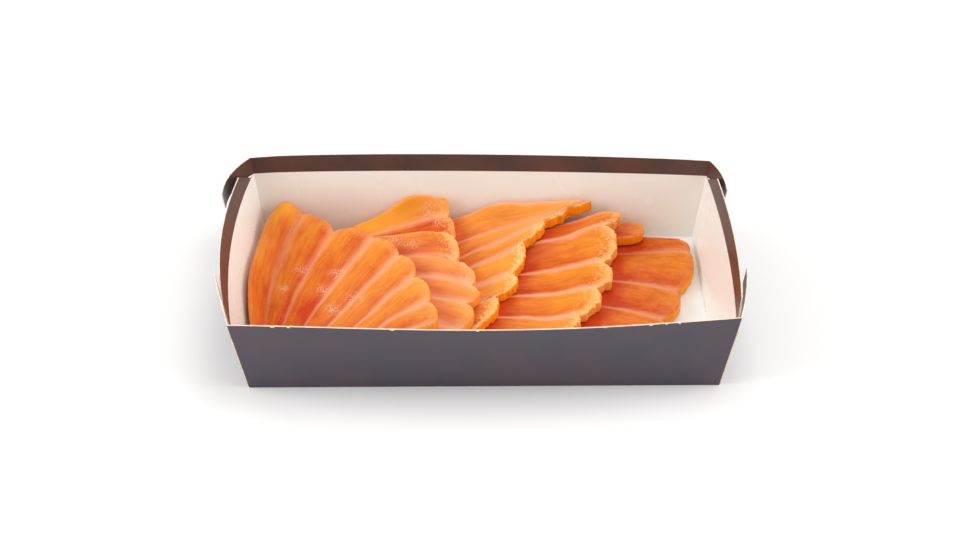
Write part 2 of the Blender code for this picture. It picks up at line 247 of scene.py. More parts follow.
def cloudyRoughness(tree, shader, cloud, smoothest, roughest):
    rough = rangeNode(tree, cloud, 0.2, 0.8, smoothest, roughest, -400, 0)
    tree.links.new(rough, shader.inputs["Roughness"])


def fibreNormal(tree, shader, fibre, depth, strength):
    tree.links.new(bumpNode(tree, fibre, depth, strength, -200, -200), shader.inputs["Normal"])


def wornPrint(tree):
    # 1 where the print is worn through to the pulp: scattered specks and the front chips
    s = boardSettings
    place = addNode(tree, "ShaderNodeTexCoord", -1300, -300).outputs["Object"]
    spot = splitPlace(tree, place, -1500, -700)
    wearAndGlintSpecks = noiseNode(tree, place, s["wornScale"], 2.0, 0.5, -1000, -400)
    worn = rangeNode(tree, wearAndGlintSpecks, *s["wornLevel"], 0.0, 1.0, -800, -400)
    ragged = noiseNode(tree, place, s["fibreScale"], 2.0, 0.6, -1500, -900)
    across = mathNode(tree, "MULTIPLY_ADD", ragged, s["chipRagged"], -1300, -800, third=spot["X"])
    atFront = rangeNode(tree, spot["Y"], *s["frontSide"], 1.0, 0.0, -1300, -1000)
    for k, (chipPlace, chipHalf) in enumerate(s["frontChips"]):
        y = -800 - 150 * k
        middle = chipPlace + s["chipRagged"] / 2
        chip = mathNode(tree, "COMPARE", across, middle, -1100, y, third=chipHalf)
        chip = mathNode(tree, "MULTIPLY", chip, atFront, -900, y)
        worn = mathNode(tree, "MAXIMUM", worn, chip, -700, y)
    belowRim = attributeValue(tree, "belowRim", -1100, -650)
    raggedDepth = mathNode(tree, "MULTIPLY_ADD", ragged, s["chipRagged"], -900, -650, third=belowRim)
    nearRim = rangeNode(tree, raggedDepth, *s["chipDepth"], 1.0, 0.0, -700, -650)
    return mathNode(tree, "MULTIPLY", worn, nearRim, -500, -450)


def printedBoardMaterial(group):
    # dark satin print, worn through to white pulp in chips along the rim
    s = boardSettings
    material, tree, shader = newMaterial("printedBoard")
    cloud, fibre = placePulp(tree, group, s["pulpScale"], s["fibreScale"])
    colour = cloudyColour(tree, cloud, 0.3, 0.7, s["printColour"], s["printWarm"])
    colour = mixColour(tree, wornPrint(tree), colour, s["chipColour"], -200, 200)
    tree.links.new(colour, shader.inputs["Base Color"])
    cloudyRoughness(tree, shader, cloud, s["printRoughness"] - 0.05, s["printRoughness"] + 0.07)
    fibreNormal(tree, shader, fibre, s["fibreDepth"], s["printBump"])
    shader.inputs["Specular IOR Level"].default_value = s["printSpecular"]
    return material


def insideBandMaterial(group):
    # the same print folded over to the inside, a little glossier; the warm brown in its colour is a painted
    # reflection of the salmon
    s = boardSettings
    material, tree, shader = newMaterial("printedBand")
    cloud, fibre = placePulp(tree, group, s["pulpScale"], s["fibreScale"])
    colour = cloudyColour(tree, cloud, 0.3, 0.7, s["bandPrintAndReflection"], s["bandWarmReflection"])
    tree.links.new(colour, shader.inputs["Base Color"])
    cloudyRoughness(tree, shader, cloud, s["printRoughness"] - 0.1, s["printRoughness"])
    fibreNormal(tree, shader, fibre, s["fibreDepth"], s["printBump"])
    return material


def paintedBounceLight(tree, cloud):
    # painted bounce light: how much the walls take the orange of the slices, most low down beside them
    s = boardSettings
    place = addNode(tree, "ShaderNodeTexCoord", -1700, -400).outputs["Object"]
    spot = splitPlace(tree, place, -1500, -400)
    uneven = mathNode(tree, "MULTIPLY_ADD", cloud, s["bounceLightUneven"], -1300, -300, third=spot["Z"])
    lowWall = rangeNode(tree, uneven, *s["bounceLightHeight"], 1.0, 0.0, -1100, -300)
    offFloor = rangeNode(tree, spot["Z"], *s["bounceLightFoot"], 0.0, 1.0, -1100, -500)
    besideFood = rangeNode(tree, spot["X"], *s["bounceLightEnd"], s["bounceLightStrength"], 0.0, -1100, -700)
    bounceLight = mathNode(tree, "MULTIPLY", lowWall, offFloor, -900, -400)
    return mathNode(tree, "MULTIPLY", bounceLight, besideFood, -700, -500)


def coatedBoardMaterial(group):
    # white board under a thin glossy food coating
    s = boardSettings
    material, tree, shader = newMaterial("coatedBoard")
    cloud, fibre = placePulp(tree, group, s["insidePulp"], s["fibreScale"])
    colour = cloudyColour(tree, cloud, 0.35, 0.75, s["insideColour"], s["insideShade"])
    # painted orange bounce light from the slices, low on the walls
    colour = mixColour(tree, paintedBounceLight(tree, cloud), colour, s["bounceLightColour"], -200, 250)
    tree.links.new(colour, shader.inputs["Base Color"])
    cloudyRoughness(tree, shader, cloud, s["insideRoughness"] - 0.04, s["insideRoughness"] + 0.1)
    fibreNormal(tree, shader, fibre, s["fibreDepth"], s["insideBump"])
    shader.inputs["Specular IOR Level"].default_value = s["insideSpecular"]
    shader.inputs["Coat Weight"].default_value = s["coating"][0]
    shader.inputs["Coat Roughness"].default_value = s["coating"][1]
    return material


def rawBoardMaterial(group):
    # cut edge of the board, bare pulp
    s = boardSettings
    material, tree, shader = newMaterial("rawBoardEdge")
    fibre = placePulp(tree, group, s["rawPulp"], s["rawFibre"])[1]
    colour = cloudyColour(tree, fibre, 0.35, 0.7, s["rawColour"], s["rawShade"])
    tree.links.new(colour, shader.inputs["Base Color"])
    fibreNormal(tree, shader, fibre, s["rawDepth"], s["rawBump"])
    shader.inputs["Roughness"].default_value = s["rawRoughness"]
    return material


# the tray: a merged copy of its solid, with a finish for each side of the board

traySettings = {
    "weld": 0.00001,
    "board": 0.0013,           # thinner than this is a side of the board, else a cut edge
    "flat": 0.9,               # faces that look up more than this belong to the floor
    "bandFoot": 0.0300,        # the dark band inside starts above this
    "rimPoints": 0.0321,       # points of the rim lie above this
    "rimGap": 0.007201,        # from the rim down to the next points
    "softAngle": 9.0,          # folds sharper than this stay crisp
    "sliver": 0.00003,         # faces narrower than this lie in a fold
}


def mergedCopy(node, name):
    piece = sceneObject(name, node.data.copy())
    piece.data.materials.clear()
    makeActive(piece)
    bpy.ops.object.mode_set(mode="EDIT")
    bpy.ops.mesh.select_all(action="SELECT")
    bpy.ops.mesh.remove_doubles(threshold=traySettings["weld"])
    bpy.ops.object.mode_set(mode="OBJECT")
    return piece


outsideFinish, insideFinish, edgeFinish, bandFinish = range(4)


def finishTrayFaces(tray):
    # each face looks through the board: thin means a side of it, thick means a cut edge
    s = traySettings
    mesh = tray.data
    tree = BVHTree.FromPolygons([v.co for v in mesh.vertices], [p.vertices[:] for p in mesh.polygons])
    for face in mesh.polygons:
        start = face.center - face.normal * s["weld"]
        hit, _, _, depth = tree.ray_cast(start, -face.normal)
        thin = hit is not None and depth < s["board"]
        inward = face.normal.x * face.center.x + face.normal.y * face.center.y < 0
        if not thin:
            face.material_index = edgeFinish
        elif face.normal.z > s["flat"]:
            face.material_index = insideFinish
        elif inward:
            face.material_index = insideFinish if face.center.z < s["bandFoot"] else bandFinish
        else:
            face.material_index = outsideFinish


def markRimDistance(tray):
    # depth under the rim, which the faces below it blend from 0
    atRim = pointArray(tray.data)[:, 2] > traySettings["rimPoints"]
    addPointValues(tray.data, "belowRim", np.where(atRim, 0.0, traySettings["rimGap"]))


def smoothBoard(tray):
    # gentle bends are smooth, folds are crisp, also where a sliver of a face lies in the fold
    s = traySettings
    mesh = tray.data
    sides = {}
    for face in mesh.polygons:
        ends = [(mesh.vertices[first].co, mesh.vertices[second].co) for first, second in face.edge_keys]
        longest = max((first - second).length for first, second in ends)
        sliver = 2 * face.area / longest < s["sliver"]
        for key in face.edge_keys:
            sides.setdefault(key, []).append(None if sliver else face.normal.copy())
    makeActive(tray)
    bpy.ops.object.shade_smooth()
    for edge in mesh.edges:
        pair = sides[edge.key]
        whole = len(pair) == 2 and None not in pair
        edge.use_edge_sharp = not whole or pair[0].angle(pair[1]) > math.radians(s["softAngle"])


print("scene: tray")
pulp = buildPulpGroup()
tray = mergedCopy(nodes["tray"], "foldedTray")
for makeFinish in (printedBoardMaterial, coatedBoardMaterial, rawBoardMaterial, insideBandMaterial):
    tray.data.materials.append(makeFinish(pulp))
finishTrayFaces(tray)
markRimDistance(tray)
smoothBoard(tray)
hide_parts("tray")
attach(tray, "root")


# the slices: each is a fan of flakes between pale lines, laid out as its solid is

fanSettings = {
    "shift": (0.00195, -0.0005),      # plan of the fans to plan of the model
    "solidCells": (4, 10),            # cells of a solid for each flake, and along it
    "fineCells": (30, 90),            # the same in the detailed piece
    "lobeFullness": 0.6,
    "lobeWidth": 0.0095,
    "cornerCut": 0.6,
    "leastWidth": 0.0015,             # of a flake, where the fan closes
    "rimInset": 0.0008,
    "insetReach": (12, 9),            # fine cells over which the inset fades, across and along
    "rimRows": 8,
    "rimBoxy": 0.5,                   # 1 is a round rim, less is squarer
    "rimRise": 0.8,
    "rimTear": 0.00025,               # rough cut faces
    "rimScales": (620.0, 1500.0),     # coarse and fine noise, here and below
    "tornReach": 0.003,               # the outline is torn this near the tips
    "tornScales": (520.0, 1300.0),
    "flakeStep": 0.00045,             # each flake is lower at its near line
    "stepEase": 0.0008,
    "lineGroove": 0.00018,
    "lineWidth": 0.0008,
    "lineGrowth": 1.6,                # over 1, lines reach their full depth before the tips
    "swell": 0.00030,                 # slow unevenness of the flesh
    "swellScales": (90.0, 220.0),
    "crumbHeight": 0.00022,           # crumbs on the pale tips
    "crumbReach": 0.0040,
    "crumbScales": (700.0, 1600.0),
    "toneFall": 0.7,                  # how the tone runs from the heel to the tips
    "rayInset": 0.00015,              # rays at the solid's border keep this far inside it
    # rays that find the slices above, for the painted shade under them
    "shadeRayStart": 0.0006,
    "shadeRayRises": (0.15, 0.8),        # slopes of the rays that look for slices above
    "shadeRayCount": 10,
    "shadeReach": 0.014,
    "shadeGain": 3.0,
    "uvFlakes": 8,                    # flakes across the whole width of the UV map
}

# tips, heels, lobes and bends are as in the solids
# tone is the depth of colour at the heel and the tips, flakeTones its change for each flake
# fringe is how pale the tip of each flake is, cutPale how pale the cut faces are
# linePale is how clear each line is, milk a pale veil over each flake
# torn is how ragged the outline is
# wetSpots are flake, share of its length, radius, for wet flesh with painted glints; toneSpots add a change
# of tone
sliceSettings = {
    "salmon_slice_1": {
        "tips": [(0.0770, 0.0375), (0.0862, 0.0285), (0.0784, 0.0038), (0.0707, -0.0130),
                 (0.0645, -0.0270), (0.0570, -0.0385)],
        "heels": [(0.0480, 0.0380), (0.0420, 0.0040), (0.0320, -0.0380)],
        "lobes": [0.0042] * 5, "bends": (0.0010, 0.0015, 0.0010),
        "tone": (0.8, 0.55), "flakeTones": [0.0, 0.0, 0.05, 0.0, 0.0],
        "fringe": [0.1] * 5, "cutPale": 0.0,
        "linePale": [0.3, 0.45, 0.6, 0.6, 0.6, 0.4], "milk": [0.0] * 5,
        "torn": 0.0005, "wetSpots": [], "toneSpots": []},
    "salmon_slice_2": {
        "tips": [(0.0655, 0.0420), (0.0680, 0.0368), (0.0645, 0.0315)],
        "heels": [(0.0250, 0.0410), (0.0220, 0.0340), (0.0250, 0.0270)],
        "lobes": [0.0014] * 2, "bends": (0.0010, 0.0010, 0.0010),
        "tone": (0.55, 0.3), "flakeTones": [-0.1, 0.25],
        "fringe": [0.2] * 2, "cutPale": 0.0,
        "linePale": [0.2, 0.25, 0.2], "milk": [0.0] * 2,
        "torn": 0.0006, "wetSpots": [], "toneSpots": []},
    "salmon_slice_3": {
        "tips": [(0.0563, 0.0428), (0.0510, 0.0325), (0.0493, 0.0168), (0.0462, 0.0002),
                 (0.0376, -0.0153), (0.0282, -0.0240), (0.0200, -0.0365)],
        "heels": [(-0.0010, 0.0380), (-0.0040, 0.0000), (0.0000, -0.0290)],
        "lobes": [0.0042, 0.0058, 0.0054, 0.0044, 0.0042, 0.0042],
        "bends": (-0.0005, 0.0015, 0.0000),
        "tone": (0.85, 0.22), "flakeTones": [0.1, 0.1, 0.0, -0.1, -0.1, -0.1],
        "fringe": [0.6, 1.0, 0.9, 1.0, 0.9, 0.8], "cutPale": 0.5,
        "linePale": [0.6, 0.9, 0.95, 1.0, 1.0, 0.9, 0.7], "milk": [0.05, 0.0, 0.0, 0.0, 0.05, 0.05],
        "torn": 0.0013, "wetSpots": [], "toneSpots": []},
    "salmon_slice_4": {
        "tips": [(0.0474, 0.0453), (0.0358, 0.0405), (0.0258, 0.0350), (0.0172, 0.0245),
                 (0.0118, 0.0090), (0.0048, -0.0042), (-0.0040, -0.0220), (-0.0100, -0.0360)],
        "heels": [(-0.0270, 0.0420), (-0.0290, -0.0080), (-0.0300, -0.0360)],
        "lobes": [0.0070, 0.0050, 0.0050, 0.0030, 0.0064, 0.0050, 0.0046],
        "bends": (0.0020, 0.0015, 0.0000),
        "tone": (0.7, 0.06), "flakeTones": [-0.05, -0.05, 0.0, -0.05, -0.05, 0.0, 0.0],
        "fringe": [0.7, 1.2, 1.5, 1.5, 1.4, 1.4, 1.1], "cutPale": 0.0,
        "linePale": [0.9, 0.8, 0.85, 0.9, 0.9, 0.8, 0.7, 0.6],
        "milk": [0.15, 0.15, 0.05, 0.0, 0.05, 0.1, 0.1],
        "torn": 0.0009, "wetSpots": [], "toneSpots": []},
    "salmon_slice_5": {
        "tips": [(-0.0155, 0.0468), (-0.0135, 0.0400), (-0.0115, 0.0280), (-0.0160, 0.0120),
                 (-0.0220, -0.0060), (-0.0290, -0.0220), (-0.0360, -0.0360)],
        "heels": [(-0.0660, 0.0300), (-0.0740, 0.0020), (-0.0700, -0.0340)],
        "lobes": [0.0020] * 6, "bends": (0.0057, 0.0020, 0.0000),
        "tone": (0.6, 0.35), "flakeTones": [-0.6, 0.35, 0.25, 0.2, 0.0, 0.0],
        "fringe": [0.3, 0.6, 0.2, 0.1, 0.1, 0.1], "cutPale": 0.2,
        "linePale": [0.1, 0.6, 0.6, 0.6, 0.6, 0.6, 0.5], "milk": [0.0, 0.0, 0.05, 0.1, 0.1, 0.1],
        "torn": 0.0006,
        "wetSpots": [(0.45, 0.93, 0.0035), (0.7, 0.85, 0.0025), (1.2, 0.9, 0.0025)],
        "toneSpots": [(0.95, 0.85, 0.0060, 0.35)]},
    "salmon_slice_6": {
        "tips": [(-0.0180, 0.0280), (-0.0105, 0.0100), (-0.0045, -0.0035), (-0.0065, -0.0140),
                 (-0.0095, -0.0270), (-0.0140, -0.0380)],
        "heels": [(-0.0780, 0.0250), (-0.0860, -0.0020), (-0.0820, -0.0330)],
        "lobes": [0.0042] * 5, "bends": (0.0020, 0.0030, 0.0020),
        "tone": (0.9, 0.30), "flakeTones": [0.2, 0.05, 0.05, 0.0, 0.0],
        "fringe": [0.9, 0.5, 0.2, 0.2, 0.3], "cutPale": 0.35,
        "linePale": [0.5, 0.5, 0.8, 0.75, 0.75, 0.6], "milk": [0.1, 0.3, 0.25, 0.25, 0.2],
        "torn": 0.0005,
        "wetSpots": [(0.34, 0.64, 0.0040), (0.53, 0.74, 0.0030), (1.84, 0.95, 0.0025)],
        "toneSpots": []},
    "salmon_slice_7": {
        "tips": [(-0.0868, 0.0429), (-0.0735, 0.0412), (-0.0602, 0.0264), (-0.0437, 0.0214),
                 (-0.0335, 0.0090), (-0.0270, -0.0055), (-0.0215, -0.0200), (-0.0205, -0.0330)],
        "heels": [(-0.0890, -0.0320), (-0.0700, -0.0385), (-0.0400, -0.0390)],
        "lobes": [0.0034] + [0.0035] * 6, "bends": (0.0045, 0.0020, 0.0010),
        "tone": (0.9, 0.32), "flakeTones": [0.02, 0.12, 0.12, 0.0, -0.05, -0.1, -0.1],
        "fringe": [0.1, 0.1, 0.2, 0.2, 0.2, 0.2, 0.2], "cutPale": 0.1,
        "linePale": [0.2, 0.35, 0.45, 0.6, 0.7, 0.75, 0.8, 0.6],
        "milk": [0.0, 0.0, 0.0, 0.05, 0.1, 0.1, 0.1],
        "torn": 0.0006,
        "wetSpots": [(1.78, 0.61, 0.0025), (2.91, 0.63, 0.0028), (4.03, 0.51, 0.0035),
                     (2.84, 0.48, 0.0025), (3.6, 0.36, 0.0030), (1.4, 0.42, 0.0018)],
        "toneSpots": [(2.82, 0.30, 0.0040, 0.45), (2.2, 0.36, 0.0050, 0.15), (1.3, 0.20, 0.0120, -0.12),
                      (0.6, 0.95, 0.0060, -0.3)]},
}


def throughThree(points, t):
    # smooth curve through its start, middle and end
    start, middle, end = (np.atleast_1d(point).astype(float) for point in points)
    t = np.asarray(t)[..., None]
    control = 2 * middle - (start + end) / 2
    return start * (1 - t) ** 2 + control * 2 * t * (1 - t) + end * t ** 2


def unit(vectors):
    return vectors / np.maximum(np.linalg.norm(vectors, axis=-1, keepdims=True), 1e-12)


def quarterTurn(vectors):
    return np.stack([-vectors[..., 1], vectors[..., 0]], -1)


def fanPlace(spec, across, along):
    # plan position: across counts flakes from the far side, along runs from heel to tips
    tips = np.array(spec["tips"])
    flakes = len(tips) - 1
    index = np.minimum(np.floor(across).astype(int), flakes - 1)
    part = across - index
    chord = tips[index + 1] - tips[index]
    heel = throughThree(spec["heels"], across / flakes)
    tip = tips[index] + chord * part[..., None]
    line = unit(tip - heel)
    square = unit(quarterTurn(chord))
    square *= np.sign(np.sum(square * line, axis=-1, keepdims=True))
    outward = unit(line + square)
    width = np.abs(np.sum(quarterTurn(chord) * line, axis=-1))
    rounding = np.sin(np.pi * np.clip(part, 0, 1)) ** fanSettings["lobeFullness"]
    bulge = np.array(spec["lobes"])[index] * rounding
    bulge *= np.minimum(width / fanSettings["lobeWidth"], 1.0)
    tip = tip + outward * bulge[..., None]
    bend = throughThree(spec["bends"], across / flakes)[..., 0] * 4 * along * (1 - along)
    place = heel + (tip - heel) * along[..., None] + unit(quarterTurn(tip - heel)) * bend[..., None]
    return place + np.array(fanSettings["shift"])


def fanGrid(spec, cellsPerFlake, cellsAlong):
    flakes = len(spec["tips"]) - 1
    across = np.linspace(0, flakes, flakes * cellsPerFlake + 1)
    along = np.linspace(0, 1, cellsAlong + 1)
    across, along = np.meshgrid(across, along, indexing="ij")
    return across, along, fanPlace(spec, across, along)


def drawInCorners(across, along, plan, spec):
    # the solid's corners are drawn in by a share of a cell; the fine grid follows them
    flakes = len(spec["tips"]) - 1
    stepAcross, stepAlong = (1 / cells for cells in fanSettings["solidCells"])
    moved = plan.copy()
    for cornerA, inA in ((0, stepAcross), (flakes, flakes - stepAcross)):
        for cornerB, inB in ((0, stepAlong), (1, 1 - stepAlong)):
            ends = np.array([(cornerA, cornerB), (inA, cornerB), (cornerA, inB)], float)
            corner, besideA, besideB = fanPlace(spec, ends[:, 0], ends[:, 1])
            pull = ((besideA + besideB) / 2 - corner) * fanSettings["cornerCut"]
            reach = np.clip(1 - np.abs(across - cornerA) / stepAcross, 0, 1)
            reach = reach * np.clip(1 - np.abs(along - cornerB) / stepAlong, 0, 1)
            moved += reach[..., None] * pull
    return moved


def borderLoop(shape):
    lastA, lastB = shape[0] - 1, shape[1] - 1
    loop = [(i, 0) for i in range(lastA)]
    loop += [(lastA, j) for j in range(lastB)]
    loop += [(i, lastB) for i in range(lastA, 0, -1)]
    loop += [(0, j) for j in range(lastB, 0, -1)]
    loop = np.array(loop)
    return loop[:, 0], loop[:, 1]


def inwardSteps(ring):
    inward = unit(quarterTurn(np.roll(ring, -1, axis=0) - np.roll(ring, 1, axis=0)))
    area = np.sum(np.roll(ring, -1, axis=0) * quarterTurn(ring))
    return inward * np.sign(area)


def fadedInside(moves, reach):
    # carries moves of the border a few cells into the grid
    fades = []
    for count, cells in zip(moves.shape[:2], reach):
        fade = np.clip(1 - np.arange(count) / cells, 0, 1)
        fade = fade * fade * (3 - 2 * fade)
        fades.append((fade, fade[::-1]))
    result = np.zeros(moves.shape)
    for i, fadeA in zip((0, -1), fades[0]):
        result += fadeA[:, None, None] * moves[i][None]
    for j, fadeB in zip((0, -1), fades[1]):
        result += fadeB[None, :, None] * moves[:, j][:, None]
    for i, fadeA in zip((0, -1), fades[0]):
        for j, fadeB in zip((0, -1), fades[1]):
            result -= fadeA[:, None, None] * fadeB[None, :, None] * moves[i, j]
    return result


def solidHeights(node, spec):
    # top and underside of the solid at each of its own grid points
    across, along, plan = fanGrid(spec, *fanSettings["solidCells"])
    plan = drawInCorners(across, along, plan, spec)
    loop = borderLoop(across.shape)
    plan[loop] += inwardSteps(plan[loop]) * (fanSettings["rimInset"] + fanSettings["rayInset"])
    mesh = node.data
    tree = BVHTree.FromPolygons([v.co for v in mesh.vertices], [p.vertices[:] for p in mesh.polygons])
    top = np.full(across.shape, np.nan)
    under = np.full(across.shape, np.nan)
    for i, j in np.ndindex(across.shape):
        x, y = plan[i, j]
        high = tree.ray_cast(Vector((x, y, 0.2)), Vector((0, 0, -1)))[0]
        low = tree.ray_cast(Vector((x, y, -0.1)), Vector((0, 0, 1)))[0]
        if high and low:
            top[i, j], under[i, j] = high.z, low.z
    for i, j in np.argwhere(np.isnan(top)):
        # a ray that slips past a thin corner takes the heights beside it
        beside = (slice(max(i - 1, 0), i + 2), slice(max(j - 1, 0), j + 2))
        top[i, j], under[i, j] = np.nanmean(top[beside]), np.nanmean(under[beside])
    return top, under, shadeUnderSlices(node, plan, top)


def shadeUnderSlices(node, plan, top):
    # how close the slices above are, 0 to 1, seen from points on the top; it sets the painted shade under
    # them
    s = fanSettings
    corners, faces = [], []
    for other in sliceSettings:
        if other != node.name:
            mesh = nodes[other].data
            faces += [[index + len(corners) for index in face.vertices] for face in mesh.polygons]
            corners += [v.co for v in mesh.vertices]
    tree = BVHTree.FromPolygons(corners, faces)
    rays = []
    for rise in s["shadeRayRises"]:
        for k in range(s["shadeRayCount"]):
            turn = 2 * math.pi * k / s["shadeRayCount"]
            rays.append(Vector((math.cos(turn), math.sin(turn), rise)).normalized())
    shadeUnder = np.zeros(top.shape)
    for i, j in np.ndindex(top.shape):
        start = Vector((*plan[i, j], top[i, j] + s["shadeRayStart"]))
        for ray in rays:
            depth = tree.ray_cast(start, ray, s["shadeReach"])[3]
            if depth is not None:
                shadeUnder[i, j] += 1 - depth / s["shadeReach"]
    return np.clip(shadeUnder / len(rays) * s["shadeGain"], 0, 1)


def resampled(values, count):
    # smooth curve through evenly spaced values, along the first axis
    last = len(values) - 1
    position = np.linspace(0, last, count)
    index = np.minimum(np.floor(position).astype(int), last - 1)
    t = (position - index)[:, None]
    before, start = values[np.maximum(index - 1, 0)], values[index]
    end, after = values[index + 1], values[np.minimum(index + 2, last)]
    bend = 2 * before - 5 * start + 4 * end - after
    return start + 0.5 * t * (end - before + t * (bend + t * (3 * (start - end) + after - before)))


def noiseAt(points, scale, seed):
    return np.array([noise.noise(Vector((x * scale, y * scale, seed))) for x, y in points])


def mixedNoise(points, scales, seeds, fineShare):
    # coarse noise with a share of fine noise
    coarse, fine = (noiseAt(points, scale, seed) for scale, seed in zip(scales, seeds))
    return coarse + fineShare * fine


def flakeRelief(across, along, plan, flakeWidth, seed):
    # flakes step down at every line, with a shallow groove under it and a slow swell
    s = fanSettings
    part = across % 1.0
    lineGap = np.minimum(part, 1 - part) * flakeWidth
    opened = np.clip(along * s["lineGrowth"], 0, 1)
    step = s["flakeStep"] * (0.5 - part) * np.clip(lineGap / s["stepEase"], 0, 1)
    groove = -s["lineGroove"] * np.exp(-(lineGap / s["lineWidth"]) ** 2)
    swell = mixedNoise(plan.reshape(-1, 2), s["swellScales"], (seed, seed + 7), 0.5)
    return (step + groove) * opened + s["swell"] * swell.reshape(across.shape)


def spotOn(spec, plan, flake, share, radius):
    # 1 at a place on a flake, fading to 0 over the radius
    spot = fanPlace(spec, np.array([flake]), np.array([share]))[0]
    return np.exp(-(np.linalg.norm(plan - spot, axis=-1) / radius) ** 2)


def flakeNumbers(spec, across, along, plan, flakeWidth):
    # values at each point that the flesh material reads
    lineLength = np.linalg.norm(np.diff(plan, axis=1), axis=-1).sum(axis=1)
    heelTone, tipTone = spec["tone"]
    flakes = len(spec["tips"]) - 1
    flakeTones = np.array(spec["flakeTones"])
    tone = heelTone + (tipTone - heelTone) * along ** fanSettings["toneFall"]
    tone += flakeTones[np.minimum(np.floor(across).astype(int), flakes - 1)]
    for flake, share, radius, change in spec["toneSpots"]:
        tone += change * spotOn(spec, plan, flake, share, radius)
    wet = np.zeros(across.shape)
    for flake, share, radius in spec["wetSpots"]:
        wet = np.maximum(wet, spotOn(spec, plan, flake, share, radius))
    middles = np.arange(flakes) + 0.5
    return {
        "flakeWidth": flakeWidth,
        "tipGap": (1 - along) * lineLength[:, None],
        "tone": tone,
        "fringe": np.interp(across, middles, spec["fringe"]),
        "cutPale": np.full(across.shape, spec["cutPale"]),
        "wet": wet,
        "milk": np.interp(across, middles, spec["milk"]),
        "linePale": np.interp(across, np.arange(flakes + 1), spec["linePale"]),
    }


def rimRows(outline, torn, inward, ringTop, ringUnder, crumbly, seed):
    # rows of points round the rim from the top to the underside, rough like a cut face
    s = fanSettings
    rows = []
    for k in range(1, s["rimRows"]):
        angle = math.pi * (0.5 - k / s["rimRows"])
        out = math.cos(angle) ** s["rimBoxy"]
        rise = math.copysign(abs(math.sin(angle)) ** s["rimRise"], math.sin(angle))
        height = (ringTop + ringUnder) / 2 + (ringTop - ringUnder) / 2 * rise
        seeds = (seed + 450.0 * (height - ringUnder).mean(), seed + 31 + k)
        rough = mixedNoise(outline, s["rimScales"], seeds, 0.6)
        tear = s["rimTear"] * (0.4 + crumbly)
        inset = s["rimInset"] * (1 - out) + tear * (rough + 0.35) * out
        rows.append(np.column_stack([torn + inward * np.maximum(inset, 0)[:, None], height]))
    return rows


def sliceFaces(shape, ringIndex):
    # the top, the underside and the rows of the rim between them
    sheetCount, ringCount = shape[0] * shape[1], len(ringIndex)
    index = np.arange(sheetCount).reshape(shape)
    quad = np.stack([index[:-1, :-1], index[1:, :-1], index[1:, 1:], index[:-1, 1:]], -1).reshape(-1, 4)
    rings = [ringIndex]
    for k in range(fanSettings["rimRows"] - 1):
        rings.append(2 * sheetCount + k * ringCount + np.arange(ringCount))
    rings.append(ringIndex + sheetCount)
    faces = [quad, quad[:, ::-1] + sheetCount]
    for upper, lower in zip(rings, rings[1:]):
        faces.append(np.stack([upper, lower, np.roll(lower, -1), np.roll(upper, -1)], -1))
    return np.concatenate(faces)


def writeFleshValues(mesh, across, along, numbers, ringIndex):
    # the UV map and the attributes, which the rim takes from the border of the top
    s = fanSettings
    source = np.concatenate([np.arange(across.size)] * 2 + [ringIndex] * (s["rimRows"] - 1))
    corners = np.empty(len(mesh.loops), np.int32)
    mesh.loops.foreach_get("vertex_index", corners)
    cornerSource = source[corners]
    uv = np.stack([across.ravel()[cornerSource] / s["uvFlakes"], along.ravel()[cornerSource]], -1)
    layer = mesh.uv_layers.new(name="flakes")
    layer.data.foreach_set("uv", uv.astype(np.float32).ravel())
    for name, values in numbers.items():
        addPointValues(mesh, name, values.ravel()[source])
    rimShares = np.repeat(np.arange(1, s["rimRows"]) / s["rimRows"], len(ringIndex))
    down = np.concatenate([np.zeros(across.size), np.ones(across.size), rimShares])
    addPointValues(mesh, "downRim", down)


